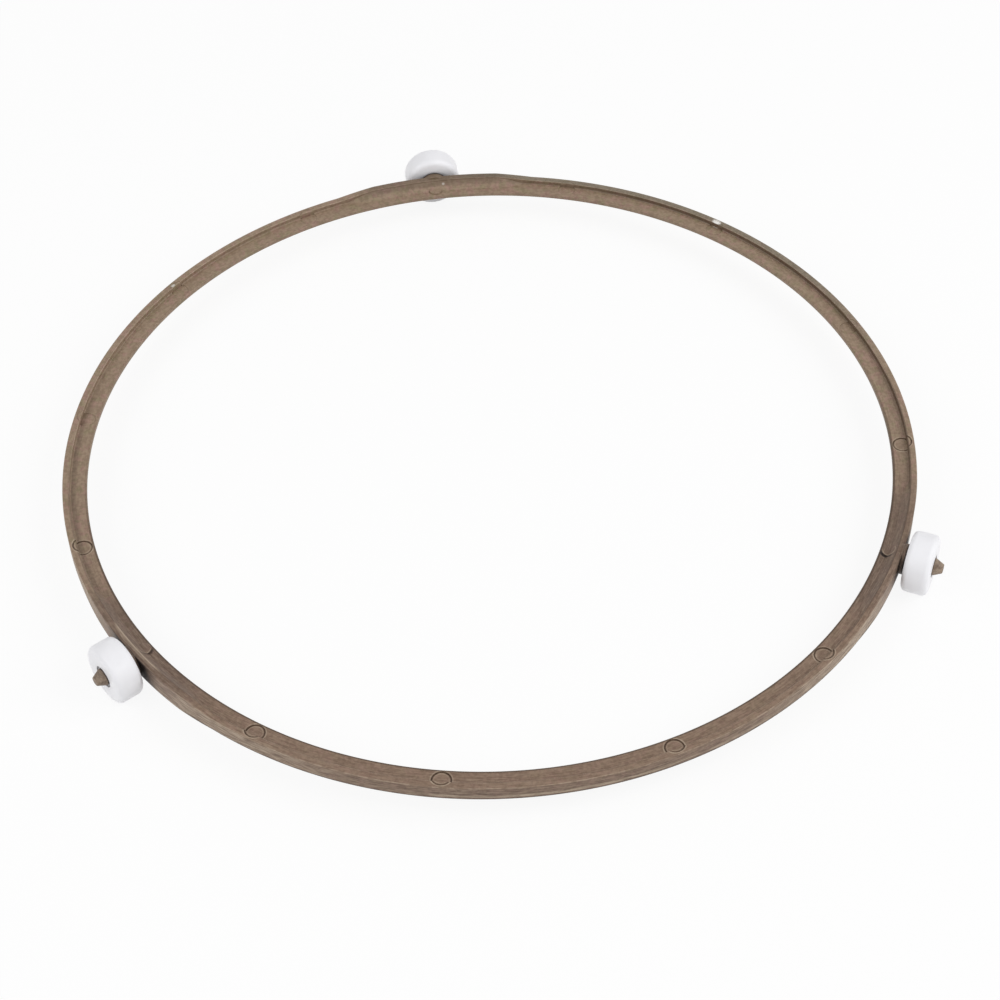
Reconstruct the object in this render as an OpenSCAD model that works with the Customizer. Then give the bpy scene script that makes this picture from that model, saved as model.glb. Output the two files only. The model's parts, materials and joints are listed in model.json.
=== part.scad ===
// Roller ring of a microwave oven turntable.
// One moulded ring carries three stub axles, and a plain roller turns on each.
// Origin: on the ring's axis, on the surface that the rollers stand on. +Z up.

/* [Ring] */
// Outer diameter of the ring, across its upright wall
ring_d = 230; // [180:1:300]
// Width of the ring's section, measured along a radius
ring_w = 6.3; // [5:0.1:12]
// Thickness of the upright wall
wall_t = 1.9; // [1.4:0.1:3]
// Height of the upright wall between the rollers
wall_h = 4.4; // [3:0.1:6]
// Thickness of the flat web inside the wall
web_t = 1.5; // [0.8:0.1:2.4]
// Rounding of the wall's edges
wall_edge_r = 0.3; // [0.1:0.05:0.5]
// Rounding of the web's inner edge
web_edge_r = 0.4; // [0.1:0.05:0.6]
// Fillet where the web meets the wall
web_fillet_r = 0.4; // [0.2:0.05:0.6]

/* [Axle seats] */
// How much the wall grows at its top and at its foot behind a roller
seat_rise = 1; // [0.4:0.1:1.6]
// Angle at the ring's axis over which the wall has its full height
seat_span = 19; // [12:0.5:30]
// Angle of the slope at each end of the raised wall
seat_ramp = 5.5; // [3:0.5:8]
// How far the slanted rib reaches inward over the web
rib_reach = 2.3; // [1:0.1:3]
// Height of the wall's step above the slanted rib
rib_step = 0.5; // [0.2:0.1:0.8]

/* [Axles] */
// Diameter of the axle that the roller turns on
axle_d = 3.4; // [2.6:0.1:4.5]
// Diameter of the round shoulder behind the roller
shoulder_d = 8.2; // [6.8:0.1:9]
// How far the shoulder stands out of the wall
shoulder_l = 1.1; // [0.8:0.1:3]
// Largest diameter of the cone-shaped head that keeps the roller on
head_d = 4.6; // [4.1:0.1:5.5]
// Length of the short cylinder at the head's base
head_land = 0.5; // [0.3:0.1:1]
// Length of the head's cone
head_cone_l = 2.3; // [1.5:0.1:4]
// Diameter of the head's flat tip
head_tip_d = 2.4; // [1:0.1:3]
// How far the axles' line lies below the middle of the wall
axle_drop = 0.4; // [0:0.1:0.8]

/* [Rollers] */
// Diameter of a roller
roller_d = 16.2; // [13:0.1:22]
// Width of a roller
roller_w = 7; // [5:0.1:10]
// Rounding of the roller's two rims
roller_edge_r = 1.5; // [0.2:0.1:2]
// Diameter of the shallow recess in each side of a roller
recess_d = 6; // [5.6:0.1:6.4]
// Depth of that recess
recess_depth = 0.5; // [0.2:0.1:1]

/* [Fits] */
// Gap all round between an axle and its roller's bore
bore_clearance = 0.05; // [0.03:0.01:0.1]
// How far a roller can slide along its axle, end to end
end_play = 0.3; // [0.2:0.1:0.6]

/* [Ejector marks] */
// Diameter of the round marks that the mould's pins leave on the web and on top of the wall
mark_d = 5; // [4:0.1:5.2]
// Depth of a mark
mark_depth = 0.15; // [0.05:0.05:0.3]
// Distance of a mark's centre from the web's inner edge
mark_inset = 3.1; // [3:0.05:3.2]
// Gap between a mark on the web and the fillet
mark_gap = 0.1; // [0.1:0.05:0.4]
// Angle from an axle to the mark next to it
mark_near_angle = 20.6; // [18:0.2:28]
// Angle from an axle to the second mark
mark_far_angle = 45.3; // [36:0.2:54]
// Diameter of the low pad on the web behind a roller
pad_d = 3.8; // [3:0.1:4]
// Height of that pad
pad_h = 0.45; // [0.2:0.05:0.8]
// Distance of the pad's centre from the web's inner edge
pad_inset = 2.4; // [2.3:0.05:2.6]

/* [Hidden] */

RING_COLOUR = [0.47, 0.38, 0.31];
ROLLER_COLOUR = [0.93, 0.93, 0.92];

// Directions of the three axles, counted from +X
RIGHT_ANGLE = -30;
REAR_ANGLE = 90;
LEFT_ANGLE = 210;
AXLE_ANGLES = [RIGHT_ANGLE, REAR_ANGLE, LEFT_ANGLE];

// Length that cuts and joined pieces run past each other
overrun = 0.4;
// Straight pieces in a small rounded edge
arc_steps = 4;
// The same for the wall's edges, which the slopes at the seats cut at a small angle
wall_arc_steps = 2;
// The same for the rollers' rims
rim_steps = 8;
// Degrees between two sections of the slanted rib
rib_step_angle = 1;

ring_r = ring_d / 2;
wall_in_r = ring_r - wall_t;
wall_mid_r = ring_r - wall_t / 2;
web_in_r = ring_r - ring_w;
wall_top = wall_h / 2;
seat_top = wall_top + seat_rise;
web_top = web_t / 2;
axle_z = roller_d / 2;
ring_z = axle_z + axle_drop;

seat_full_angle = seat_span / 2;
seat_end_angle = seat_full_angle + seat_ramp;

shoulder_r = shoulder_d / 2;
shoulder_end = ring_r + shoulder_l;
roller_in = shoulder_end + end_play / 2;
roller_out = roller_in + roller_w;
head_start = roller_out - recess_depth + end_play / 2;
head_cone_start = head_start + head_land;
head_end = head_cone_start + head_cone_l;
bore_r = axle_d / 2 + bore_clearance;

mark_r = web_in_r + mark_inset;
mark_limit_r = wall_in_r - web_fillet_r - mark_gap;
pad_r = web_in_r + pad_inset;

// Points of an arc about (x, y), from angle a0 to a1
function arc(x, y, r, a0, a1, steps = arc_steps) =
    [for (i = [0 : steps])
        let (a = a0 + (a1 - a0) * i / steps)
        [x + r * cos(a), y + r * sin(a)]];

// Rounded edge of the wall, whose rounding is centred on (x, y)
function wall_arc(x, y, a0, a1) = arc(x, y, wall_edge_r, a0, a1, wall_arc_steps);

// A list of points, mirrored to the other side of the web and in reverse order
function mirrored(points) =
    [for (i = [len(points) - 1 : -1 : 0]) [points[i][0], -points[i][1]]];

// Upper half of the ring's section at an axle: web, fillet and the tall wall
tall_half = concat(
    wall_arc(ring_r - wall_edge_r, seat_top - wall_edge_r, 0, 90),
    wall_arc(wall_in_r + wall_edge_r, seat_top - wall_edge_r, 90, 180),
    arc(wall_in_r - web_fillet_r, web_top + web_fillet_r, web_fillet_r, 0, -90),
    arc(web_in_r + web_edge_r, web_top - web_edge_r, web_edge_r, 90, 180));

// What is taken off the tall wall between the axles, down to its rounded plain top
trim_half = concat(
    [[ring_r + overrun, seat_top + overrun], [wall_in_r - overrun, seat_top + overrun],
     [wall_in_r - overrun, wall_top - wall_edge_r]],
    wall_arc(wall_in_r + wall_edge_r, wall_top - wall_edge_r, 180, 90),
    wall_arc(ring_r - wall_edge_r, wall_top - wall_edge_r, 90, 0),
    [[ring_r + overrun, wall_top - wall_edge_r]]);

// Web and wall, as tall all the way round as behind a roller
module tall_ring() {
    rotate_extrude($fn = 240)
        polygon(concat(tall_half, mirrored(tall_half)));
}

// Side view of one seat: flat on top, and sloped down at both ends
module seat_outline() {
    full_y = wall_mid_r * sin(seat_full_angle);
    end_y = wall_mid_r * sin(seat_end_angle);
    slope = (end_y - full_y) / seat_rise;
    foot_y = full_y + slope * seat_top;
    crest_y = full_y - slope * 2 * overrun;
    crest_z = seat_top + 2 * overrun;
    polygon([[foot_y, 0], [crest_y, crest_z], [-crest_y, crest_z],
             [-foot_y, 0], [-crest_y, -crest_z], [crest_y, -crest_z]]);
}

// The tall wall's excess, above and below, everywhere but at the seats
module wall_trim() {
    difference() {
        rotate_extrude($fn = 240) {
            polygon(trim_half);
            polygon(mirrored(trim_half));
        }
        for (a = AXLE_ANGLES)
            rotate([0, 0, a])
                rotate([90, 0, 90])
                    linear_extrude(height = ring_r + 2 * overrun)
                        seat_outline();
    }
}

// Share of the rib's full reach at an angle from the axle, fading smoothly at the ends
function rib_share(a) =
    let (t = max(0, min(1, (seat_end_angle - abs(a)) / seat_ramp)))
    t * t * (3 - 2 * t);

// Four corners of the rib at one angle: its foot lies in the web, its back in the wall
function rib_corners(a) =
    let (slope = (seat_top - rib_step - web_top) / rib_reach,
         reach = rib_reach * rib_share(a),
         foot_z = web_top / 2,
         foot_r = wall_in_r - reach - (web_top - foot_z) / slope,
         back_r = wall_in_r + wall_edge_r,
         back_z = web_top + slope * (reach + wall_edge_r),
         c = cos(a),
         d = sin(a))
    [[foot_r * c, foot_r * d, -foot_z], [back_r * c, back_r * d, -back_z],
     [back_r * c, back_r * d, back_z], [foot_r * c, foot_r * d, foot_z]];

// The slanted rib between wall and web behind one roller
module slanted_rib() {
    count = ceil(2 * seat_end_angle / rib_step_angle);
    rings = [for (i = [0 : count]) rib_corners(-seat_end_angle + 2 * seat_end_angle * i / count)];
    sides = [for (i = [0 : count - 1]) for (j = [0 : 3])
        let (k = (j + 1) % 4)
        [4 * i + k, 4 * i + 4 + k, 4 * i + 4 + j, 4 * i + j]];
    last = 4 * count;
    polyhedron(
        points = [for (corners = rings) for (p = corners) p],
        faces = concat([[3, 2, 1, 0]], sides, [[last, last + 1, last + 2, last + 3]]));
}

// Shoulder, axle and cone-shaped head, turned about the axle's line
module axle() {
    rotate([0, 90, 0])
        rotate_extrude($fn = 64)
            polygon([
                [0, wall_in_r + wall_edge_r],
                [shoulder_r, wall_in_r + wall_edge_r],
                [shoulder_r, shoulder_end],
                [axle_d / 2, shoulder_end],
                [axle_d / 2, head_start],
                [head_d / 2, head_start],
                [head_d / 2, head_cone_start],
                [head_tip_d / 2, head_end],
                [0, head_end]]);
}

// A round tool upright over each place of a mark, from height z up
module mark_tools(z) {
    for (a = AXLE_ANGLES)
        for (b = [mark_near_angle, -mark_near_angle, mark_far_angle, -mark_far_angle])
            rotate([0, 0, a + b])
                translate([mark_r, 0, z])
                    cylinder(d = mark_d, h = seat_top + overrun, $fn = 48);
}

// All the marks, cut down into the web and into the wall's top from above
module ejector_marks() {
    mark_tools(wall_top - mark_depth);
    intersection() {
        mark_tools(web_top - mark_depth);
        cylinder(r = mark_limit_r, h = 2 * seat_top + overrun, $fn = 240);
    }
}

// Low pad on the web behind one roller
module pad() {
    translate([pad_r, 0, 0])
        cylinder(d = pad_d, h = web_top + pad_h, $fn = 48);
}

module ring() {
    color(RING_COLOUR)
        translate([0, 0, ring_z])
            difference() {
                union() {
                    difference() {
                        tall_ring();
                        wall_trim();
                    }
                    for (a = AXLE_ANGLES)
                        rotate([0, 0, a]) {
                            slanted_rib();
                            pad();
                            translate([0, 0, -axle_drop])
                                axle();
                        }
                }
                ejector_marks();
            }
}

// Half of a roller's profile: distance from the axle's line, then distance along it
module roller_profile() {
    half_w = roller_w / 2;
    rim_r = roller_d / 2;
    upper = concat(
        [[bore_r, half_w - recess_depth], [recess_d / 2, half_w - recess_depth], [recess_d / 2, half_w]],
        arc(rim_r - roller_edge_r, half_w - roller_edge_r, roller_edge_r, 90, 0, rim_steps));
    polygon(concat(upper, mirrored(upper)));
}

// A roller on the axle that points in direction a
module roller(a) {
    color(ROLLER_COLOUR)
        rotate([0, 0, a])
            translate([(roller_in + roller_out) / 2, 0, axle_z])
                rotate([0, 90, 0])
                    rotate_extrude($fn = 128)
                        roller_profile();
}

module wheel_left() {
    roller(LEFT_ANGLE);
}

module wheel_right() {
    roller(RIGHT_ANGLE);
}

module wheel_rear() {
    roller(REAR_ANGLE);
}

ring();
wheel_left();
wheel_right();
wheel_rear();
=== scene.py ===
"""Looks of a microwave oven's roller ring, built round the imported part. Sizes are in metres."""

import json
import math

import bmesh
import bpy
from mathutils import Matrix, Vector


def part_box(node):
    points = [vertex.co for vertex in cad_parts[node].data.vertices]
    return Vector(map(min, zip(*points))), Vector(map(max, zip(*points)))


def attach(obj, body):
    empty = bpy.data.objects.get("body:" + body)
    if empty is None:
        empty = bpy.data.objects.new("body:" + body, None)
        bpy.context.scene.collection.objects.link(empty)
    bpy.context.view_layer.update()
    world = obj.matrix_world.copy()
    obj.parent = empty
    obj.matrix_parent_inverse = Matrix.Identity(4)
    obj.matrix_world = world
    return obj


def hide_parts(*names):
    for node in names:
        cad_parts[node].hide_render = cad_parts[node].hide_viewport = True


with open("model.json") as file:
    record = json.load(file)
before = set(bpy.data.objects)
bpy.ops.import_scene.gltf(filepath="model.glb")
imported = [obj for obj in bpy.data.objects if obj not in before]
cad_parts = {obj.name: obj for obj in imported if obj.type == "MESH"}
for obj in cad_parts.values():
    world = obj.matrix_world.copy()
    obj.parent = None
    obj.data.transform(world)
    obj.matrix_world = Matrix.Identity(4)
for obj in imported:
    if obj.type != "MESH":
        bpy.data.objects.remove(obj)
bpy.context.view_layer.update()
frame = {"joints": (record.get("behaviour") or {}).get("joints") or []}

bl_info = {
    "name": "Microwave roller ring",
    "version": (1, 0, 0),
    "blender": (4, 5, 0),
    "location": "3D View > Sidebar > Roller ring",
    "description": "Builds a roller ring with three rollers, its plastics and a plain studio",
    "category": "Object",
}

MM = 0.001
UP = Vector((0, 0, 1))
ROLLERS = 3

SHARP_ANGLE = math.radians(38)
ARC_STEPS = 4
FILLET_STEPS = 6
WEB_STEPS = 5
AXLE_STEPS = 96
MARK_STEPS = 64
ROLLER_STEPS = 144

STREAK_LENGTH = 12
DARK_SPECKLE = (0.84, 0.80, 0.76)
LIGHT_SPECKLE = (1.14, 1.13, 1.12)
STREAK_TONE = (0.66, 0.61, 0.56)

WHITE = (1, 1, 1, 1)
FLOOR_HALF = 6.0
SOFTBOX_PLACE = (0.86, -0.31, 0.77)


def axle_directions():
    """Body name of each roller, with the angle of its axle round the ring."""
    return {
        joint["child"]: math.atan2(joint["axis"][1], joint["axis"][0])
        for joint in frame["joints"]
    }


def height_of(node):
    """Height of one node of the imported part."""
    low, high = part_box(node)
    return high.z - low.z


def length(name, text, millimetres):
    return bpy.props.FloatProperty(
        name=name, description=text, default=millimetres * MM, min=0, unit="LENGTH", precision=5
    )


def angle(name, text, degrees):
    return bpy.props.FloatProperty(
        name=name, description=text, default=math.radians(degrees), min=0, unit="ROTATION"
    )


def colour(name, text, value):
    return bpy.props.FloatVectorProperty(
        name=name, description=text, default=value, size=3, min=0, max=1, subtype="COLOR"
    )


def share(name, text, value):
    return bpy.props.FloatProperty(name=name, description=text, default=value, min=0, max=1)


def power(name, text, watts):
    return bpy.props.FloatProperty(
        name=name, description=text, default=watts, min=0, unit="POWER"
    )


class RingSizes(bpy.types.PropertyGroup):
    """Sizes of the moulded ring and its seats."""

    diameter: length("Diameter", "Across the upright wall", 230)
    section: length("Section", "Width of the ring's section along a radius", 6.3)
    wall: length("Wall", "Thickness of the upright wall", 1.9)
    wall_height: length("Wall height", "Height of the wall between the rollers", 4.4)
    web: length("Web", "Thickness of the flat web", 1.5)
    edge: length("Wall edge", "Rounding of the wall's edges", 0.3)
    web_edge: length("Web edge", "Rounding of the web's inner edge", 0.4)
    fillet: length("Fillet", "Rounding between web and wall", 0.4)
    rise: length("Seat rise", "How much the wall grows at top and foot behind a roller", 1.0)
    seat: angle("Seat", "Half of the angle with the full height", 9.5)
    ramp: angle("Ramp", "Angle of each slope beside a seat", 5.5)
    reach: length("Rib reach", "How far the slanted rib reaches inward", 2.3)
    step: length("Rib step", "Height of the wall above the rib", 0.5)
    steps: bpy.props.IntProperty(
        name="Steps", description="Sections round the ring", default=720, min=90, max=1440
    )


class MarkSizes(bpy.types.PropertyGroup):
    """Round marks and low pads that the mould's pins leave."""

    diameter: length("Mark", "Diameter of a mark between the rollers", 5.0)
    place: length("Place", "Distance of these marks' centres from the ring's axis", 111.8)
    near: angle("Near", "Angle from an axle to the mark next to it", 20.6)
    far: angle("Far", "Angle from an axle to the second mark", 45.3)
    depth: length("Depth", "Depth of a mark", 0.1)
    line: length("Line", "Width of the groove round a mark", 0.26)
    line_depth: length("Line depth", "Depth of that groove", 0.22)
    rear_share: share("Rear share", "Depth of the marks at the back, as a share", 0.4)
    rear_start: length("Rear start", "Place behind the axis where these begin", 20)
    pad: length("Pad", "Diameter of the low pad behind a roller", 3.8)
    pad_place: length("Pad place", "Distance of the pad's centre from the ring's axis", 111.1)
    pad_height: length("Pad height", "Height of the pad above the web", 0.45)
    pad_edge: length("Pad edge", "Rounding of the pad's top", 0.14)

    def spots(self):
        """Small spots: colour, degrees, place, half sizes along and across, share."""
        return (
            ("pale_spot", 44.9, 113.8 * MM, 1.7 * MM, 1.0 * MM, 1.0),
            ("pale_spot", 135.6, 113.7 * MM, 0.9 * MM, 0.6 * MM, 0.5),
            ("pale_spot", 88.7, 112.4 * MM, 0.5 * MM, 0.35 * MM, 0.35),
            ("dirt_and_shade", 186.0, 110.9 * MM, 0.5 * MM, 0.4 * MM, 0.9),
        )


class AxleSizes(bpy.types.PropertyGroup):
    """Sizes of the stub axles."""

    diameter: length("Axle", "Diameter that the roller turns on", 3.4)
    drop: length("Drop", "How far the axles' line lies below the middle of the wall", 0.4)
    shoulder: length("Shoulder", "Diameter of the round shoulder", 8.2)
    shoulder_end: length("Shoulder end", "Distance of its face from the ring's axis", 116.1)
    head: length("Head", "Largest diameter of the head", 4.6)
    head_start: length("Head start", "Distance of the head's back from the ring's axis", 122.9)
    land: length("Land", "Length of the short cylinder at the head's base", 0.5)
    cone: length("Cone", "Length of the head's cone", 2.3)
    tip: length("Tip", "Diameter of the flat tip", 2.4)
    edge: length("Edge", "Rounding of the axle's edges", 0.15)


class RollerSizes(bpy.types.PropertyGroup):
    """Sizes of a roller."""

    diameter: length("Roller", "Diameter of a roller", height_of("wheel_rear") / MM)
    width: length("Width", "Width along the axle", 7.0)
    middle: length("Middle", "Distance of its middle from the ring's axis", 119.75)
    rim: length("Rim", "Rounding of the two rims", 1.5)
    recess: length("Recess", "Diameter of the recess in each side", 6.0)
    recess_depth: length("Recess depth", "Depth of that recess", 0.5)
    bore: length("Bore", "Diameter of the bore", 3.5)
    edge: length("Edge", "Rounding of the edges of bore and recess", 0.12)


class PlasticLook(bpy.types.PropertyGroup):
    """Colours and finish of the two plastics."""

    taupe: colour("Taupe", "Main colour of the ring", (0.272, 0.196, 0.134))
    olive: colour("Olive", "Greener blotches of the ring", (0.246, 0.194, 0.118))
    pink: colour("Pink", "Redder blotches of the ring", (0.296, 0.190, 0.146))
    aged: colour("Aged", "Browner plastic at the front of the ring", (0.204, 0.134, 0.094))
    # Painted shade: colour of the shaded plastic beside the front rollers.
    seat: colour("Seat", "Darker plastic behind the rollers", (0.122, 0.080, 0.058))
    dull: colour("Dull", "Dulled stretch of the wall's top", (0.172, 0.148, 0.108))
    # Colour of real rub and of painted highlights.
    scuff_and_highlight: colour("Scuff", "Where the ring is rubbed light", (0.47, 0.375, 0.28))
    # Colour of a few small near-white spots.
    pale_spot: colour("Chip", "Small bare spots", (0.86, 0.84, 0.80))
    # Colour of real dirty spots and of painted shade.
    dirt_and_shade: colour("Dirt", "What gathers in corners and lines", (0.048, 0.024, 0.010))
    # Painted shade: colour of the black shade in narrow gaps.
    gap_shade: colour("Deep", "Colour at the bottom of narrow gaps", (0.014, 0.008, 0.005))
    # Painted shade: colour of the shade in the rollers' recesses.
    recess_shade: colour("Grime", "What gathers in the rollers' recesses", (0.30, 0.29, 0.30))
    white: colour("White", "Rollers", (0.90, 0.897, 0.925))
    shaded: share("Shaded", "Tone of the rollers' darker clouds", 0.93)
    ring_gloss: share("Ring roughness", "Roughness of the ring", 0.5)
    roller_gloss: share("Roller roughness", "Roughness of the rollers", 0.38)


class WearLook(bpy.types.PropertyGroup):
    """How strongly age, rub, dirty spots, painted highlights and painted shade show."""

    blotches: share("Blotches", "Olive and pink blotches", 0.9)
    # Painted shade: how strong the shade beside the front rollers is.
    seat: share("Seats", "Darker plastic behind the front rollers", 0.62)
    dulled: share("Dulled", "Dulled stretch of the wall's top", 0.75)
    speckle: share("Speckle", "Fine light and dark speckle", 0.78)
    streaks: share("Streaks", "Dark streaks along the ring", 0.8)
    # Strength of real rub and painted highlights together.
    rub_and_highlight: share("Rubbed", "All places that are rubbed light", 0.75)
    # Strength of real dirty spots and painted shade together.
    dirt_and_shade: share("Dirt", "All dirty places", 0.92)
    # The next eight shares set painted shade in corners, hollows, along edges, underneath and on
    # the shoulders.
    corner: share("Corner", "Dirt in the corner of web and wall", 0.64)
    rear_seat: share("Rear seat", "Dirt on the rib at the back", 0.48)
    hollows: share("Hollows", "Dirt in narrow hollows", 0.8)
    web_edge: share("Web edge", "Dirt on the web's inner edge", 0.85)
    wall_foot: share("Wall foot", "Dirt on the wall's lower edge", 0.9)
    below: share("Below", "Dirt on the underside at the front", 0.5)
    left_line: share("Left line", "Dark line on the web at the left", 0.3)
    shoulder: share("Shoulders", "Dirt on the round shoulders", 0.18)
    # The next five shares set painted black shade in narrow gaps.
    shoulder_rim: share("Shoulder rims", "Black on the shoulders' outer end", 0.95)
    behind_roller: share("Behind rollers", "Black on the wall behind a roller", 0.6)
    outer_crest: share("Outer crest", "Black on the wall's edge at a roller", 0.6)
    head_base: share("Head base", "Black round the back of a head", 0.9)
    pad_shade: share("Pad gap", "Black on the front side of a pad", 0.95)
    clouds: share("Clouds", "Darker clouds on the rollers", 0.7)
    # Painted shade in the rollers' recesses.
    recess_shade: share("Grime", "Grime in the rollers' recesses", 0.7)


class StudioLook(bpy.types.PropertyGroup):
    """Floor, light and camera."""

    floor: colour("Floor", "Colour of the floor", (0.95, 0.95, 0.95))
    glow: share("Glow", "How much of the floor is plain white to the camera", 0.88)
    sky: share("Sky", "Strength of the even light all round", 0.5)
    right_power: power("Right power", "Power of the softbox at the right", 6.6)
    left_power: power("Left power", "Power of the softbox at the left", 4.4)
    softbox: length("Softbox", "Side of each square softbox", 900)
    lens: bpy.props.FloatProperty(
        name="Lens", description="Focal length", default=83.83, min=10, unit="CAMERA"
    )
    shift_x: bpy.props.FloatProperty(
        name="Shift X", description="Sideways framing", default=-0.05307
    )
    shift_y: bpy.props.FloatProperty(
        name="Shift Y", description="Upright framing", default=-0.04096
    )


def smooth_step(x):
    """0 below 0, 1 above 1, and smooth in between."""
    x = min(1.0, max(0.0, x))
    return x * x * (3 - 2 * x)


def arc(x, y, radius, start, stop, count):
    """Points of an arc about (x, y), with angles in degrees."""
    turns = [math.radians(start + (stop - start) * i / count) for i in range(count + 1)]
    return [(x + radius * math.cos(t), y + radius * math.sin(t)) for t in turns]


def line(start, stop, count):
    """Points between two others, without them."""
    return [
        tuple(a + (b - a) * i / (count + 1) for a, b in zip(start, stop))
        for i in range(1, count + 1)
    ]


def half_section(sizes, rise, reach):
    """Upper half of the ring's section, from the web's inner edge to the wall's outer face."""
    outer = sizes.diameter / 2
    wall_in = outer - sizes.wall
    web_in = outer - sizes.section
    web_top = sizes.web / 2
    top = sizes.wall_height / 2 + rise
    slope = (sizes.wall_height / 2 + sizes.rise - sizes.step - web_top) / sizes.reach
    fillet = arc(
        wall_in - sizes.fillet, web_top + sizes.fillet, sizes.fillet, -90, 0, FILLET_STEPS
    )
    part = smooth_step(reach / (2 * sizes.fillet))
    path = []
    for i, (r, z) in enumerate(fillet):
        u = i / (len(fillet) - 1)
        rib_r = wall_in - reach * (1 - u)
        rib_z = web_top + slope * reach * u
        path.append((r + (rib_r - r) * part, z + (rib_z - z) * part))
    inner_edge = arc(
        web_in + sizes.web_edge, web_top - sizes.web_edge, sizes.web_edge, 180, 90, ARC_STEPS
    )
    wall_inner = arc(wall_in + sizes.edge, top - sizes.edge, sizes.edge, 180, 90, ARC_STEPS)
    wall_outer = arc(outer - sizes.edge, top - sizes.edge, sizes.edge, 90, 0, ARC_STEPS)
    return (
        [(web_in, 0.0)]
        + inner_edge
        + line(inner_edge[-1], path[0], WEB_STEPS)
        + path
        + line(path[-1], wall_inner[0], 1)
        + wall_inner
        + line(wall_inner[-1], wall_outer[0], 2)
        + wall_outer
        + line(wall_outer[-1], (outer, 0.0), 2)
        + [(outer, 0.0)]
    )


def whole_section(sizes, rise, reach):
    """The closed section: its upper half, and that half mirrored."""
    upper = half_section(sizes, rise, reach)
    return upper + [(r, -z) for r, z in reversed(upper[1:-1])]


def seat_shape(sizes, turn, directions):
    """Rise of the wall and reach of the rib at one angle round the ring."""
    away = min(abs((turn - d + math.pi) % (2 * math.pi) - math.pi) for d in directions)
    middle = sizes.diameter / 2 - sizes.wall / 2
    full = middle * math.sin(sizes.seat)
    end = middle * math.sin(sizes.seat + sizes.ramp)
    here = middle * math.sin(min(away, math.pi / 2))
    rise = sizes.rise * min(1.0, max(0.0, (end - here) / (end - full)))
    reach = sizes.reach * smooth_step((sizes.seat + sizes.ramp - away) / sizes.ramp)
    return rise, reach


def new_object(name, bm, material=None):
    """A finished object at the origin from a bmesh, shaded smooth with its sharp edges kept."""
    mesh = bpy.data.meshes.new(name)
    bm.to_mesh(mesh)
    bm.free()
    made = bpy.data.objects.new(name, mesh)
    bpy.context.scene.collection.objects.link(made)
    finish_shading(mesh)
    if material:
        mesh.materials.append(material)
    return made


def finish_shading(mesh):
    """Smooth faces, with the edges of sharp corners kept."""
    mesh.shade_smooth()
    mesh.set_sharp_from_angle(angle=SHARP_ANGLE)


def soften(bm, radius, corner=35):
    """Rounds every edge of a turned piece that is sharper than the given angle."""
    sharp = [
        e
        for e in bm.edges
        if len(e.link_faces) == 2 and e.calc_face_angle(0) > math.radians(corner)
    ]
    bmesh.ops.bevel(
        bm,
        geom=sharp,
        offset=radius,
        offset_type="OFFSET",
        affect="EDGES",
        segments=3,
        profile=0.5,
        material=-1,
        clamp_overlap=True,
    )


def turned(profile, axis, steps, closed):
    """A bmesh turned from a profile of (along, out) points round an axis through the origin."""
    bm = bmesh.new()
    side = Vector((0, 0, 1)) if axis == "X" else Vector((1, 0, 0))
    along = Vector((1, 0, 0)) if axis == "X" else Vector((0, 0, 1))
    verts = [bm.verts.new(along * x + side * r) for x, r in profile]
    ends = verts[1:] + ([verts[0]] if closed else [])
    edges = [bm.edges.new(pair) for pair in zip(verts, ends)]
    bmesh.ops.spin(
        bm,
        geom=verts + edges,
        cent=(0, 0, 0),
        axis=along,
        angle=2 * math.pi,
        steps=steps,
        use_merge=True,
    )
    bmesh.ops.remove_doubles(bm, verts=bm.verts, dist=0.001 * MM)
    bmesh.ops.recalc_face_normals(bm, faces=bm.faces)
    return bm


def placed(bm, turn, out, height):
    """Moves a turned piece along its own X to the given distance, and round the ring."""
    move = Matrix.Rotation(turn, 4, "Z") @ Matrix.Translation((out, 0, height))
    bmesh.ops.transform(bm, matrix=move, verts=bm.verts)
    return bm


def combined(target, tool, operation):
    """Adds or cuts one object on another, and removes the tool."""
    modifier = target.modifiers.new("join", "BOOLEAN")
    modifier.operation = operation
    modifier.object = tool
    modifier.solver = "EXACT"
    modifier.use_self = False
    graph = bpy.context.evaluated_depsgraph_get()
    graph.update()
    mesh = bpy.data.meshes.new_from_object(target.evaluated_get(graph))
    old = target.data
    target.modifiers.clear()
    target.data = mesh
    bpy.data.meshes.remove(old)
    bpy.data.objects.remove(tool)


def plain_ring(sizes, height, directions):
    """Web and wall all the way round, with the raised wall and the rib at each seat."""
    section = whole_section(sizes, 0, 0)
    bm = bmesh.new()
    column = bm.verts.layers.int.new("column")
    verts = []
    for i, (r, z) in enumerate(section):
        v = bm.verts.new((r, 0, z))
        v[column] = i
        verts.append(v)
    edges = [bm.edges.new(pair) for pair in zip(verts, verts[1:] + verts[:1])]
    bmesh.ops.spin(
        bm,
        geom=verts + edges,
        cent=(0, 0, 0),
        axis=UP,
        angle=2 * math.pi,
        steps=sizes.steps,
        use_merge=True,
    )
    sections = {}
    for v in bm.verts:
        turn = math.atan2(v.co.y, v.co.x)
        key = round(turn / (2 * math.pi) * sizes.steps)
        if key not in sections:
            sections[key] = whole_section(sizes, *seat_shape(sizes, turn, directions))
        r, z = sections[key][v[column]]
        v.co = (r * math.cos(turn), r * math.sin(turn), z + height)
    bm.verts.layers.int.remove(column)
    bmesh.ops.recalc_face_normals(bm, faces=bm.faces)
    return bm


def axle(sizes, axles, turn, height):
    """Shoulder, axle and cone-shaped head."""
    start = sizes.diameter / 2 - sizes.wall / 2
    profile = [
        (start, 0),
        (start, axles.shoulder / 2),
        (axles.shoulder_end, axles.shoulder / 2),
        (axles.shoulder_end, axles.diameter / 2),
        (axles.head_start, axles.diameter / 2),
        (axles.head_start, axles.head / 2),
        (axles.head_start + axles.land, axles.head / 2),
        (axles.head_start + axles.land + axles.cone, axles.tip / 2),
        (axles.head_start + axles.land + axles.cone, 0),
    ]
    bm = turned(profile, "X", AXLE_STEPS, False)
    soften(bm, axles.edge)
    return placed(bm, turn, 0, height)


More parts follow.
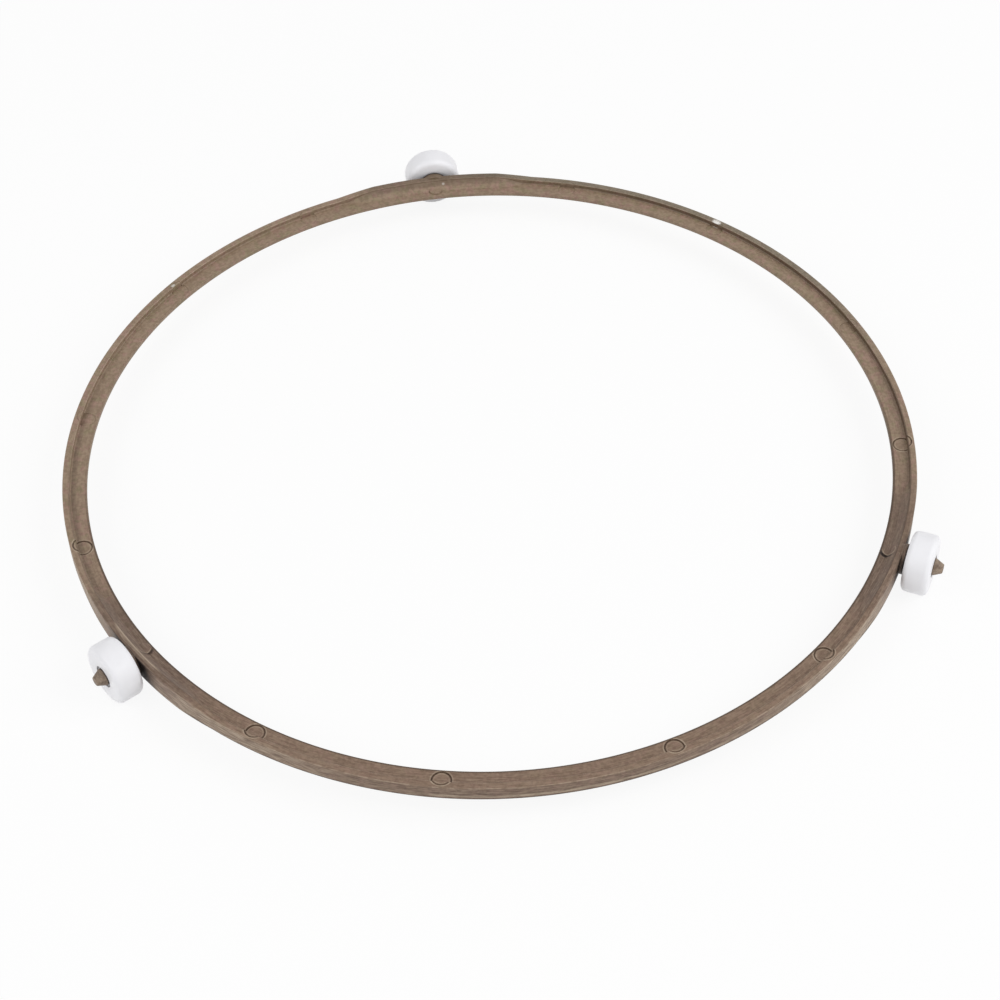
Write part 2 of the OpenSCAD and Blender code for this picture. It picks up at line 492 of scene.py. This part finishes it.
def mark_cutter(marks, surface, top, turn, stop=None):
    """A cutter for one mark: a flat disc with a deeper groove round it, ended by a flat plane."""
    radius = marks.diameter / 2
    at_back = marks.place * math.sin(turn) >= marks.rear_start
    part = marks.rear_share if at_back else 1.0
    depth = marks.depth * part
    line_depth = marks.line_depth * part
    profile = [
        (surface - depth, 0),
        (surface - depth, radius - marks.line),
        (surface - line_depth, radius - marks.line * 0.7),
        (surface - line_depth, radius - marks.line * 0.1),
        (surface, radius),
        (top, radius),
        (top, 0),
    ]
    bm = turned(profile, "Z", MARK_STEPS, False)
    bmesh.ops.translate(bm, vec=(marks.place, 0, 0), verts=bm.verts)
    if stop:
        cut = bmesh.ops.bisect_plane(
            bm,
            geom=bm.verts[:] + bm.edges[:] + bm.faces[:],
            dist=0.0001 * MM,
            plane_co=(stop, 0, 0),
            plane_no=(1, 0, 0),
            clear_outer=True,
        )
        rim = [g for g in cut["geom_cut"] if isinstance(g, bmesh.types.BMEdge)]
        bmesh.ops.edgenet_fill(bm, edges=rim)
        bmesh.ops.recalc_face_normals(bm, faces=bm.faces)
    bmesh.ops.rotate(bm, cent=(0, 0, 0), matrix=Matrix.Rotation(turn, 3, "Z"), verts=bm.verts)
    return bm


def pad(marks, web_top, turn):
    """The low round pad on the web behind one roller."""
    radius = marks.pad / 2
    top = web_top + marks.pad_height
    low = web_top - marks.pad_height
    rounding = marks.pad_edge
    round_edge = arc(radius - rounding, top - rounding, rounding, 0, 90, ARC_STEPS)
    profile = [(low, 0), (low, radius)] + [(z, r) for r, z in round_edge] + [(top, 0)]
    bm = turned(profile, "Z", MARK_STEPS, False)
    bmesh.ops.translate(bm, vec=(marks.pad_place, 0, 0), verts=bm.verts)
    bmesh.ops.rotate(bm, cent=(0, 0, 0), matrix=Matrix.Rotation(turn, 3, "Z"), verts=bm.verts)
    return bm


def merged_object(name, parts):
    """One object that holds several bmeshes."""
    mesh = bpy.data.meshes.new(name)
    whole = bmesh.new()
    for part in parts:
        part.to_mesh(mesh)
        part.free()
        whole.from_mesh(mesh)
    bpy.data.meshes.remove(mesh)
    return new_object(name, whole)


class Shade:
    """An output of a shader node. Arithmetic on it adds Math nodes."""

    def __init__(self, tree, socket=None):
        self.tree = tree
        self.socket = socket

    def node(self, kind, settings=None, inputs=None, output=0):
        """Adds a node: its settings come first, then the values or links of its sockets."""
        made = self.tree.nodes.new(kind)
        for name, value in (settings or {}).items():
            setattr(made, name, value)
        for name, value in (inputs or {}).items():
            if isinstance(value, Shade):
                self.tree.links.new(value.socket, made.inputs[name])
            else:
                made.inputs[name].default_value = value
        return Shade(self.tree, made.outputs[output] if made.outputs else None)

    def math(self, operation, first, second=0.0):
        return self.node("ShaderNodeMath", {"operation": operation}, {0: first, 1: second})

    def __add__(self, other):
        return self.math("ADD", self, other)

    def __radd__(self, other):
        return self.math("ADD", other, self)

    def __sub__(self, other):
        return self.math("SUBTRACT", self, other)

    def __rsub__(self, other):
        return self.math("SUBTRACT", other, self)

    def __mul__(self, other):
        return self.math("MULTIPLY", self, other)

    def __rmul__(self, other):
        return self.math("MULTIPLY", other, self)

    def __truediv__(self, other):
        return self.math("DIVIDE", self, other)

    def clamped(self):
        return self.node(
            "ShaderNodeMath", {"operation": "ADD", "use_clamp": True}, {0: self, 1: 0.0}
        )

    def parts(self, vector):
        """The three numbers of a vector."""
        split = self.node("ShaderNodeSeparateXYZ", None, {"Vector": vector}).socket.node
        return [Shade(self.tree, split.outputs[i]) for i in range(3)]

    def between(self, low, high):
        """0 below low, 1 above high, and smooth in between."""
        return self.node(
            "ShaderNodeMapRange",
            {"interpolation_type": "SMOOTHSTEP"},
            {"Value": self, "From Min": low, "From Max": high, "To Min": 0.0, "To Max": 1.0},
        )

    def noise(self, place, size, detail=3.0, rough=0.5, seed=0.0):
        """Soft noise with spots of about the given size in metres."""
        return self.node(
            "ShaderNodeTexNoise",
            {"noise_dimensions": "4D"},
            {"Vector": place, "W": seed, "Scale": 1 / size, "Detail": detail, "Roughness": rough},
        )

    def mix(self, factor, first, second, blend="MIX"):
        """A colour between two others, or their product."""
        return self.node(
            "ShaderNodeMix",
            {"data_type": "RGBA", "blend_type": blend},
            {0: factor, 6: first, 7: second},
            2,
        )


def rgba(value):
    return (*value, 1.0)


def new_material(name):
    """An empty material, and the value that its nodes start from."""
    made = bpy.data.materials.new(name)
    made.use_nodes = True
    made.node_tree.nodes.clear()
    return made, Shade(made.node_tree)


def close_material(start, surface):
    start.node("ShaderNodeOutputMaterial", None, {"Surface": surface})


def near_value(value, middle, inner, outer):
    """1 close to the middle, and 0 further from it than outer."""
    return 1 - value.math("ABSOLUTE", value - middle).between(inner, outer)


class RingPlaces:
    """Where a point lies on the ring, with soft masks that are 1 on a place and 0 off it."""

    def __init__(self, nodes, sizes, marks, axles, height):
        self.nodes, self.marks, self.axles = nodes, marks, axles
        place = nodes.node("ShaderNodeTexCoord", None, None, "Object")
        self.x, self.y, z = nodes.parts(place)
        self.ahead = 0 - self.y
        self.level = z - height
        self.turn = nodes.math("ARCTAN2", self.y, self.x)
        self.out = nodes.math("SQRT", self.x * self.x + self.y * self.y)
        self.up = nodes.parts(nodes.node("ShaderNodeNewGeometry", None, None, "Normal"))[2]
        self.away = nodes.math("PINGPONG", self.turn - math.pi / 2, math.pi / ROLLERS)
        self.outer = sizes.diameter / 2
        self.wall_in = self.outer - sizes.wall
        self.web_in = self.outer - sizes.section
        self.add_noises(place, z)
        self.add_faces()
        self.add_sides()
        self.add_details()

    def beyond(self, radius, start, full):
        """0 to 1 across a radius, between two distances from it in millimetres."""
        return self.out.between(radius + start * MM, radius + full * MM)

    def ring_line(self, radius, shift, inner, outer):
        """A line round the ring: its shift from a radius and its half widths in millimetres."""
        return near_value(self.out, radius + shift * MM, inner * MM, outer * MM)

    def level_line(self, level, inner, outer):
        """A line round the wall's face: its level and its half widths in millimetres."""
        return near_value(self.level, level * MM, inner * MM, outer * MM)

    def off_axle(self, start, full):
        """0 to 1 between two angles from the nearest axle, in degrees."""
        return self.away.between(math.radians(start), math.radians(full))

    def add_noises(self, place, z):
        """Blotches of several sizes, and streaks that run along the ring."""
        nodes = self.nodes
        along = nodes.math("ABSOLUTE", self.turn) * (self.outer / STREAK_LENGTH)
        unrolled = nodes.node("ShaderNodeCombineXYZ", None, {"X": along, "Y": self.out, "Z": z})
        self.blotch = nodes.noise(place, 3.2 * MM, 2, 0.6)
        self.second = nodes.noise(place, 2.1 * MM, 2, 0.6, 7.0)
        self.wide = nodes.noise(place, 26 * MM, 2)
        self.speckle = nodes.noise(place, 0.85 * MM, 1, 0.5, 3.0)
        self.grain = nodes.noise(place, 0.5 * MM, 3, 0.65)
        self.streak = nodes.noise(unrolled, 0.34 * MM, 3, 0.62)
        self.dark_streak = 1 - self.streak.between(0.40, 0.51)
        self.light_streak = self.streak.between(0.52, 0.63)

    def add_faces(self):
        """The faces of the section."""
        self.facing_up = self.up.between(0.55, 0.85)
        self.facing_down = (0 - self.up).between(0.1, 0.6)
        self.in_wall = self.beyond(self.wall_in, -0.05, 0.05)
        self.past_wall = self.beyond(self.outer, 0.1, 0.3)
        upright = 1 - self.nodes.math("ABSOLUTE", self.up).between(0.35, 0.7)
        self.outside = upright * self.beyond(self.outer, -0.3, -0.1) * (1 - self.past_wall)

    def add_sides(self):
        """The front, back, left and right of the ring, and the seats behind the rollers."""
        self.front = self.ahead.between(-10 * MM, 85 * MM)
        self.front_half = self.ahead.between(-20 * MM, 30 * MM)
        self.back = self.y.between(0, 60 * MM)
        self.right = self.x.between(-20 * MM, 90 * MM)
        self.left = 1 - self.x.between(-30 * MM, 30 * MM)
        self.seat = 1 - self.off_axle(8, 14)
        self.front_seat = self.seat * self.ahead.between(0, 40 * MM)
        self.tucked = self.front_seat * (1 - self.off_axle(3.5, 6))
        self.streaked = 0.3 + 0.5 * self.front + 0.5 * self.outside

    def add_details(self):
        """Places that get both lighter and darker marks."""
        axles = self.axles
        self.head = self.beyond(axles.head_start, -0.1, 0)
        self.inner_crest = self.ring_line(self.wall_in, 0.15, 0.12, 0.3)
        self.inner_crest = self.inner_crest * self.level.between(1.6 * MM, 1.9 * MM)
        lined = self.x.between(-45 * MM, -25 * MM) * (1 - self.y.between(-95 * MM, -60 * MM))
        self.lined_face = self.outside * lined * (1 - self.x.between(15 * MM, 60 * MM) * 0.7)


def plain_colour(look, wear, ring):
    """The plastic before rub and dirty spots: its blotches, age, speckle and dark streaks, with
    painted shade beside the front rollers.
    """
    nodes = ring.nodes
    greener = ring.blotch.between(0.5, 0.64) * wear.blotches
    redder = ring.second.between(0.5, 0.62) * wear.blotches
    body = nodes.mix(greener, rgba(look.taupe), rgba(look.olive))
    body = nodes.mix(redder, body, rgba(look.pink))
    body = nodes.mix(ring.front * (0.5 + 0.5 * ring.wide), body, rgba(look.aged))
    # Painted shade beside the front rollers, less on the outer face and on the right wall.
    seat_shade_share = wear.seat - ring.in_wall * ring.right * 0.22
    seat_shade = ring.front_seat * (1 - ring.outside * 0.85) * seat_shade_share
    body = nodes.mix(seat_shade, body, rgba(look.seat))
    dulled = ring.in_wall * ring.back * ring.x.between(-12 * MM, 30 * MM) * ring.facing_up
    body = nodes.mix(dulled * wear.dulled, body, rgba(look.dull))
    tone = nodes.mix(ring.speckle.between(0.36, 0.64), rgba(DARK_SPECKLE), rgba(LIGHT_SPECKLE))
    body = nodes.mix(wear.speckle, body, tone, "MULTIPLY")
    darker = nodes.mix(1.0, body, rgba(STREAK_TONE), "MULTIPLY")
    return nodes.mix(ring.dark_streak * ring.streaked * wear.streaks, body, darker)


def mark_lines(ring):
    """Painted shade in the groove round each mark, and painted highlights beside and inside it."""
    marks = ring.marks
    strong = 0.1 + 0.9 * ring.ahead.between(-25 * MM, 15 * MM)
    uneven = 0.6 + 0.7 * ring.second.between(0.38, 0.58)
    radius = marks.diameter / 2
    dark = light = 0.0
    for at in (marks.near, marks.far):
        side = (ring.away - at) * marks.place
        across = ring.out - marks.place
        far = ring.nodes.math("SQRT", side * side + across * across)
        groove = near_value(far, radius - 0.5 * marks.line, 0.45 * marks.line, 1.15 * marks.line)
        beside = near_value(far, radius + 0.9 * marks.line, 0.2 * marks.line, 1.0 * marks.line)
        inside = near_value(far, radius - 2.2 * marks.line, 0.2 * marks.line, 0.9 * marks.line)
        dark = groove * strong * uneven + dark
        light = (beside + inside * 0.6) * strong * (1.2 - uneven * 0.6) + light
    return dark * ring.facing_up, light * ring.facing_up


def pad_lines(ring):
    """Painted shade on the front side of each low pad, and a painted highlight on its rim."""
    marks = ring.marks
    side = ring.away * marks.pad_place
    across = ring.out - marks.pad_place
    far = ring.nodes.math("SQRT", side * side + across * across)
    radius = marks.pad / 2
    longer = ring.x.between(0, 60 * MM) * (0.7 * MM)
    front_side = (longer - ring.y - marks.pad_place / 2).between(-0.2 * MM, 0.7 * MM)
    gap = near_value(far, radius + 0.2 * MM, 0.18 * MM, 0.38 * MM) * front_side
    rim = near_value(far, radius - 0.26 * MM, 0.06 * MM, 0.22 * MM) * front_side
    on_web = 1 - ring.level.between(1.6 * MM, 2.4 * MM)
    return gap * on_web, rim * ring.facing_up


def rubs_and_highlights(ring, mark_highlight, pad_highlight):
    """Where the ring is made lighter: rub in streaks and beside the seats, lighter heads, painted
    highlights on the wall's rounded edges, marks and pads, and painted floor reflection low on the
    outer face.
    """
    beside_seat = ring.off_axle(7, 11) * (1 - ring.off_axle(18, 38))
    rub_and_highlight = ring.light_streak * ring.streaked * (0.12 + 0.5 * ring.wide.between(0.4, 0.65)) * 0.65
    rub_and_highlight = rub_and_highlight + ring.outside * beside_seat * (0.12 + 0.75 * ring.streak.between(0.4, 0.6))

    # Painted highlight on the rounded edges of the wall's top, left off the front seats.
    crest_highlight = ring.up.between(0.1, 0.4) * (1 - ring.up.between(0.8, 0.97)) * ring.in_wall
    rub_and_highlight = rub_and_highlight + crest_highlight * (0.14 + 0.5 * ring.second.between(0.42, 0.6)) * (1 - ring.front_seat)
    # Painted highlight along the wall's inner top edge beside the left front roller.
    inner_top = ring.in_wall * ring.facing_up * (1 - ring.beyond(ring.wall_in, 0.8, 1.2))
    left_crest_highlight = ring.inner_crest * 1.1 + inner_top * 0.45 * ring.blotch
    rub_and_highlight = rub_and_highlight + left_crest_highlight * ring.tucked * ring.left

    rub_and_highlight = rub_and_highlight + ring.head * (0.12 + ring.second.between(0.42, 0.6) * 0.5)
    # Lighter streaks on the lower half of the outer face: partly real streaks, partly painted
    # floor reflection.
    foot = (0 - ring.level).between(0.1 * MM, 1.6 * MM)
    rub_and_highlight = rub_and_highlight + ring.outside * foot * ring.light_streak * (0.15 + 0.45 * ring.wide)
    rub_and_highlight = rub_and_highlight + mark_highlight + pad_highlight * (0.25 + 0.3 * ring.front_seat)
    # Painted floor reflection: a light line low on the outer face.
    low_floor_reflection = ring.level_line(-0.95, 0.15, 0.45) * ring.lined_face
    rub_and_highlight = rub_and_highlight + low_floor_reflection * (0.35 + ring.streak.between(0.44, 0.54)) * 1.1
    return rub_and_highlight.clamped()


def dirt_and_shade_places(wear, ring, mark_shade):
    """Darker places: mostly painted shade in corners, hollows, along edges, underneath, on
    shoulders and in mark grooves; real dirty head tips and a real parting line.
    """
    nodes, axles = ring.nodes, ring.axles
    # Painted shade in the corner of web and wall, strongest on the right.
    corner = (1 - ring.beyond(ring.wall_in, 0.02, 0.2)) * ring.beyond(ring.wall_in, -0.75, -0.1)
    corner = corner * ring.level.between(0.6 * MM, 1.0 * MM)
    corner = corner * (1 - ring.level.between(1.9 * MM, 2.2 * MM))
    corner = corner * (0.04 + wear.corner * ring.right) * (1 - ring.seat) * (0.7 + 0.6 * ring.wide)
    # Painted shade on the rib behind the rear roller.
    rear_seat = ring.seat * ring.back * ring.beyond(ring.wall_in, -1.7, -0.5)
    # Painted shade: ambient occlusion darkens narrow hollows.
    hollow = nodes.node("ShaderNodeAmbientOcclusion", {"samples": 8}, {"Distance": 2.2 * MM}, "AO")
    shut = 1 - hollow.between(0.18, 0.6)

    # Painted shade along the wall's inner top edge at the far sides.
    far_side = nodes.math("ABSOLUTE", ring.x).between(55 * MM, 92 * MM)
    far_side = far_side * ring.ahead.between(-20 * MM, 5 * MM)
    inner_line = ring.inner_crest * far_side * (0.65 - 0.25 * ring.left)
    inner_line = inner_line * (1 - ring.tucked * ring.left)
    # Painted shadow of the front rollers on the outer part of the wall's top.
    wall_top = ring.tucked * ring.facing_up * ring.beyond(ring.outer, -0.9, -0.5)
    wall_top = wall_top * (0.1 + 0.22 * ring.left)
    # Painted shade on the web's inner edge, mostly at the front, and on the web at the left.
    web_edge = (1 - ring.beyond(ring.web_in, 0.42, 0.72)) * (0.12 + 0.88 * ring.front_half)
    left_line = ring.ring_line(ring.wall_in, -0.9, 0.4, 0.9) * ring.facing_up
    left_line = left_line * (1 - ring.x.between(-114 * MM, -100 * MM))

    # Painted shade on the wall's lower outer edge; the middle line is the real parting line.
    wall_foot = ring.outside * (1 - ring.level.between(-1.95 * MM, -1.5 * MM)) * (1 - ring.seat)
    middle_line = ring.level_line(0, 0.1, 0.35) * ring.lined_face * (0.15 + 0.4 * ring.dark_streak)
    # Painted shade on the shoulders between wall and roller.
    shoulder = ring.past_wall * (1 - ring.beyond(axles.shoulder_end, 0.1, 0.3))
    # Head tips dirty; the lower half of each head darker with painted shade.
    tip = ring.beyond(axles.head_start + axles.land + axles.cone, -0.3, 0)
    under_head = (0 - ring.level).between(0.6 * MM, 2.4 * MM)
    head_dirt_and_shade = 0.02 + 0.4 * tip * ring.blotch + 0.18 * under_head + 0.1 * ring.dark_streak

    dirt_and_shade = corner + rear_seat * wear.rear_seat + shut * wear.hollows + inner_line + wall_top
    dirt_and_shade = dirt_and_shade + ring.head * head_dirt_and_shade + shoulder * wear.shoulder + web_edge * wear.web_edge
    # Undersides at the front darker with painted shade.
    dirt_and_shade = dirt_and_shade + wall_foot * wear.wall_foot + ring.facing_down * ring.front_half * wear.below
    dirt_and_shade = dirt_and_shade + left_line * wear.left_line + mark_shade + middle_line
    return dirt_and_shade.clamped()


def gap_shade_places(wear, ring, pad_shade):
    """Painted black shade in the narrow gaps behind the rollers, round the heads' backs, at the
    shoulders' ends and on the front side of the pads.
    """
    axles = ring.axles
    shoulder_rim = ring.beyond(axles.shoulder_end, -0.6, -0.25)
    shoulder_rim = shoulder_rim * (1 - ring.beyond(axles.shoulder_end, 0.1, 0.3))
    head_base = ring.ring_line(axles.head_start, 0.1, 0.2, 0.4)
    behind_roller = ring.outside * (1 - ring.off_axle(2.2, 4.2))
    behind_roller = behind_roller * (wear.behind_roller - 0.25 * ring.right)
    outer_crest = ring.ring_line(ring.outer, -0.02, 0.1, 0.24) * ring.tucked
    outer_crest = outer_crest * (wear.outer_crest - 0.3 * ring.right)
    gap_shade = shoulder_rim * wear.shoulder_rim + behind_roller + outer_crest
    gap_shade = gap_shade + head_base * wear.head_base + pad_shade * (wear.pad_shade - 0.35 * ring.left)
    return gap_shade.clamped()


def with_spots(look, ring, body):
    """The colour with its few small spots."""
    for colour_name, degrees, place, half_along, half_across, strength in ring.marks.spots():
        side = (ring.turn - math.radians(degrees)) * (place / half_along)
        across = (ring.out - place) / half_across
        far = ring.nodes.math("SQRT", side * side + across * across) + ring.grain * 0.4
        spot = (1 - far.between(0.7, 1.25)) * ring.up.between(0.2, 0.6) * strength
        body = ring.nodes.mix(spot, body, rgba(getattr(look, colour_name)))
    return body


def ring_material(scene, height):
    """Taupe moulded plastic: blotches, fine streaks along the ring, rub, dirty spots, painted
    highlights and painted shade.
    """
    look, wear = scene.plastic_look, scene.wear_look
    made, nodes = new_material("taupe_plastic")
    ring = RingPlaces(nodes, scene.ring_sizes, scene.mark_sizes, scene.axle_sizes, height)
    mark_shade, mark_highlight = mark_lines(ring)
    pad_shade, pad_highlight = pad_lines(ring)
    rub_and_highlight = rubs_and_highlights(ring, mark_highlight, pad_highlight)
    body = plain_colour(look, wear, ring)
    # Real rub and painted highlights, in one lighter colour.
    body = nodes.mix(rub_and_highlight * wear.rub_and_highlight, body, rgba(look.scuff_and_highlight))
    # Real dirty spots and painted shade, in one dark colour.
    body = nodes.mix(dirt_and_shade_places(wear, ring, mark_shade) * wear.dirt_and_shade, body, rgba(look.dirt_and_shade))
    # Painted black shade in narrow gaps.
    body = nodes.mix(gap_shade_places(wear, ring, pad_shade), body, rgba(look.gap_shade))
    body = with_spots(look, ring, body)
    relief = ring.grain * 0.5 + ring.streak * 0.5
    bump = nodes.node(
        "ShaderNodeBump", None, {"Strength": 0.6, "Distance": 0.03 * MM, "Height": relief}
    )
    roughness = look.ring_gloss + (ring.grain - 0.5) * 0.25 + rub_and_highlight * 0.12
    surface = nodes.node(
        "ShaderNodeBsdfPrincipled",
        None,
        {"Base Color": body, "Roughness": roughness.clamped(), "IOR": 1.46, "Normal": bump},
    )
    close_material(nodes, surface)
    return made


def roller_material(scene):
    """Smooth white plastic that lets a little light in, with faint handling marks and painted
    shade in its recesses.
    """
    look, wear = scene.plastic_look, scene.wear_look
    shaded = [c * look.shaded for c in look.white]
    made, nodes = new_material("white_plastic")
    place = nodes.node("ShaderNodeTexCoord", None, None, "Object")
    cloud = nodes.noise(place, 5 * MM, 2).between(0.3, 0.75)
    fine = nodes.noise(place, 0.7 * MM, 3, 0.6)
    body = nodes.mix(cloud * wear.clouds, rgba(look.white), rgba(shaded))
    # Painted shade: ambient occlusion darkens the recesses and the bore.
    hollow = nodes.node("ShaderNodeAmbientOcclusion", {"samples": 8}, {"Distance": 1.6 * MM}, "AO")
    shut = 1 - hollow.between(0.3, 0.75)
    body = nodes.mix(shut * wear.recess_shade, body, rgba(look.recess_shade))
    bump = nodes.node(
        "ShaderNodeBump", None, {"Strength": 0.15, "Distance": 0.02 * MM, "Height": fine}
    )
    surface = nodes.node(
        "ShaderNodeBsdfPrincipled",
        None,
        {
            "Base Color": body,
            "Roughness": (look.roller_gloss + (fine - 0.5) * 0.2).clamped(),
            "IOR": 1.45,
            "Subsurface Weight": 0.12,
            "Subsurface Radius": (1.0, 1.0, 1.0),
            "Subsurface Scale": 0.8 * MM,
            "Normal": bump,
        },
    )
    close_material(nodes, surface)
    return made


class BuildRing(bpy.types.Operator):
    """Build the moulded ring with its seats, ribs, axles and round marks."""

    bl_idname = "roller_ring.build_ring"
    bl_label = "Ring"

    def execute(self, context):
        sizes = context.scene.ring_sizes
        axles = context.scene.axle_sizes
        marks = context.scene.mark_sizes
        axle_height = height_of("wheel_rear") / 2
        height = axle_height + axles.drop
        web_top = height + sizes.web / 2
        wall_top = height + sizes.wall_height / 2
        directions = list(axle_directions().values())
        ring = new_object("ring_moulding", plain_ring(sizes, height, directions))
        added = [axle(sizes, axles, d, axle_height) for d in directions]
        added += [pad(marks, web_top, d) for d in directions]
        combined(ring, merged_object("axles_and_pads", added), "UNION")
        beside = (-marks.far, -marks.near, marks.near, marks.far)
        turns = [d + t for d in directions for t in beside]
        above = wall_top + sizes.rise
        overlap = 0.02 * MM
        stop = sizes.diameter / 2 - sizes.wall + overlap
        in_web = [mark_cutter(marks, web_top, above, t, stop) for t in turns]
        combined(ring, merged_object("web_marks", in_web), "DIFFERENCE")
        in_wall = [mark_cutter(marks, wall_top, above, t) for t in turns]
        combined(ring, merged_object("wall_marks", in_wall), "DIFFERENCE")
        finish_shading(ring.data)
        ring.data.materials.clear()
        ring.data.materials.append(ring_material(context.scene, height))
        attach(ring, "ring")
        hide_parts("ring")
        return {"FINISHED"}


class BuildRollers(bpy.types.Operator):
    """Build the three rollers on their axles."""

    bl_idname = "roller_ring.build_rollers"
    bl_label = "Rollers"

    def execute(self, context):
        sizes = context.scene.roller_sizes
        material = roller_material(context.scene)
        half = sizes.width / 2
        radius = sizes.diameter / 2
        floor = half - sizes.recess_depth
        side = [
            (floor, sizes.bore / 2),
            (floor, sizes.recess / 2),
            (half, sizes.recess / 2),
        ] + arc(half - sizes.rim, radius - sizes.rim, sizes.rim, 0, 90, 2 * ARC_STEPS)
        profile = side + [(-x, r) for x, r in reversed(side)]
        for body, turn in axle_directions().items():
            bm = turned(profile, "X", ROLLER_STEPS, True)
            soften(bm, sizes.edge, 60)
            placed(bm, turn, sizes.middle, radius)
            roller = new_object(body.replace("wheel", "roller"), bm, material)
            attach(roller, body)
            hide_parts(body)
        return {"FINISHED"}


def seen(start):
    """1 for rays that show the background itself: to the camera, in gloss and through glass."""
    path = start.node("ShaderNodeLightPath").socket.node
    names = ("Is Camera Ray", "Is Glossy Ray", "Is Transmission Ray")
    camera, gloss, through = (Shade(start.tree, path.outputs[name]) for name in names)
    return (camera + gloss + through).clamped()


def softbox(name, place, side, watts):
    """A square area light that faces the middle of the ring."""
    data = bpy.data.lights.new(name, "AREA")
    data.size = side
    data.energy = watts
    lamp = bpy.data.objects.new(name, data)
    lamp.location = place
    lamp.rotation_euler = (-Vector(place)).to_track_quat("-Z", "Y").to_euler()
    bpy.context.scene.collection.objects.link(lamp)


class BuildStudio(bpy.types.Operator):
    """Build the floor, the light and the camera."""

    bl_idname = "roller_ring.build_studio"
    bl_label = "Studio"

    def execute(self, context):
        look = context.scene.studio_look
        bm = bmesh.new()
        bmesh.ops.create_grid(bm, x_segments=1, y_segments=1, size=FLOOR_HALF)
        floor = new_object("floor", bm)
        made, nodes = new_material("floor_white")
        matt = nodes.node("ShaderNodeBsdfDiffuse", None, {"Color": rgba(look.floor)})
        white = nodes.node("ShaderNodeEmission", None, {"Color": WHITE, "Strength": 1.0})
        glow = seen(nodes) * look.glow
        both = nodes.node("ShaderNodeMixShader", None, {0: glow, 1: matt, 2: white})
        close_material(nodes, both)
        floor.data.materials.append(made)

        world = bpy.data.worlds.new("studio")
        context.scene.world = world
        world.use_nodes = True
        world.node_tree.nodes.clear()
        around = Shade(world.node_tree)
        sky = around.node("ShaderNodeBackground", None, {"Color": WHITE, "Strength": look.sky})
        shown = around.node("ShaderNodeBackground", None, {"Color": WHITE, "Strength": 1.0})
        light = around.node("ShaderNodeMixShader", None, {0: seen(around), 1: sky, 2: shown})
        around.node("ShaderNodeOutputWorld", None, {"Surface": light})

        x, y, z = SOFTBOX_PLACE
        softbox("right_softbox", (x, y, z), look.softbox, look.right_power)
        softbox("left_softbox", (-x, y, z), look.softbox, look.left_power)

        self.add_camera(context, look)
        context.scene.view_settings.view_transform = "Standard"
        return {"FINISHED"}

    def add_camera(self, context, look):
        """The camera stands as it stood for the photograph."""
        radius = context.scene.ring_sizes.diameter / 2
        distance = 5.5075 * radius
        aim_height = Vector((0, 0, 6.3 * MM))
        tilt = math.radians(45.742)
        roll = math.radians(-0.215)
        turn = Matrix.Rotation(math.radians(-9.586), 3, "Z")
        target = Vector((0.1473, -0.0156, 0.0)) * radius
        back = Vector((0, -math.cos(tilt), math.sin(tilt)))
        up = Vector((0, math.sin(tilt), math.cos(tilt)))
        right = Vector((1, 0, 0))
        side = math.cos(roll) * right + math.sin(roll) * up
        upright = -math.sin(roll) * right + math.cos(roll) * up
        place = turn @ (target + distance * back) + aim_height
        frame_axes = Matrix((turn @ side, turn @ upright, turn @ back)).transposed()
        data = bpy.data.cameras.new("camera")
        data.lens = look.lens
        data.sensor_width = 36
        data.shift_x = look.shift_x
        data.shift_y = look.shift_y
        data.clip_start = 0.01
        camera = bpy.data.objects.new("camera", data)
        camera.matrix_world = Matrix.Translation(place) @ frame_axes.to_4x4()
        context.scene.collection.objects.link(camera)
        context.scene.camera = camera


class RollerRingPanel(bpy.types.Panel):
    """Lists the pieces and their sizes."""

    bl_idname = "VIEW3D_PT_roller_ring"
    bl_label = "Roller ring"
    bl_space_type = "VIEW_3D"
    bl_region_type = "UI"
    bl_category = "Roller ring"

    def draw(self, context):
        for operator in OPERATORS:
            self.layout.operator(operator.bl_idname)
        for name in GROUPS:
            box = self.layout.box()
            group = getattr(context.scene, name)
            for value in group.bl_rna.properties.keys():
                if value not in ("rna_type", "name"):
                    box.prop(group, value)


OPERATORS = (BuildRing, BuildRollers, BuildStudio)
GROUPS = {
    "ring_sizes": RingSizes,
    "mark_sizes": MarkSizes,
    "axle_sizes": AxleSizes,
    "roller_sizes": RollerSizes,
    "plastic_look": PlasticLook,
    "wear_look": WearLook,
    "studio_look": StudioLook,
}
CLASSES = (*GROUPS.values(), *OPERATORS, RollerRingPanel)


def register():
    for cls in CLASSES:
        bpy.utils.register_class(cls)
    for name, group in GROUPS.items():
        setattr(bpy.types.Scene, name, bpy.props.PointerProperty(type=group))


def unregister():
    for name in GROUPS:
        delattr(bpy.types.Scene, name)
    for cls in reversed(CLASSES):
        bpy.utils.unregister_class(cls)


def main():
    register()
    bpy.ops.roller_ring.build_ring()
    bpy.ops.roller_ring.build_rollers()
    bpy.ops.roller_ring.build_studio()


if __name__ == "__main__":
    main()
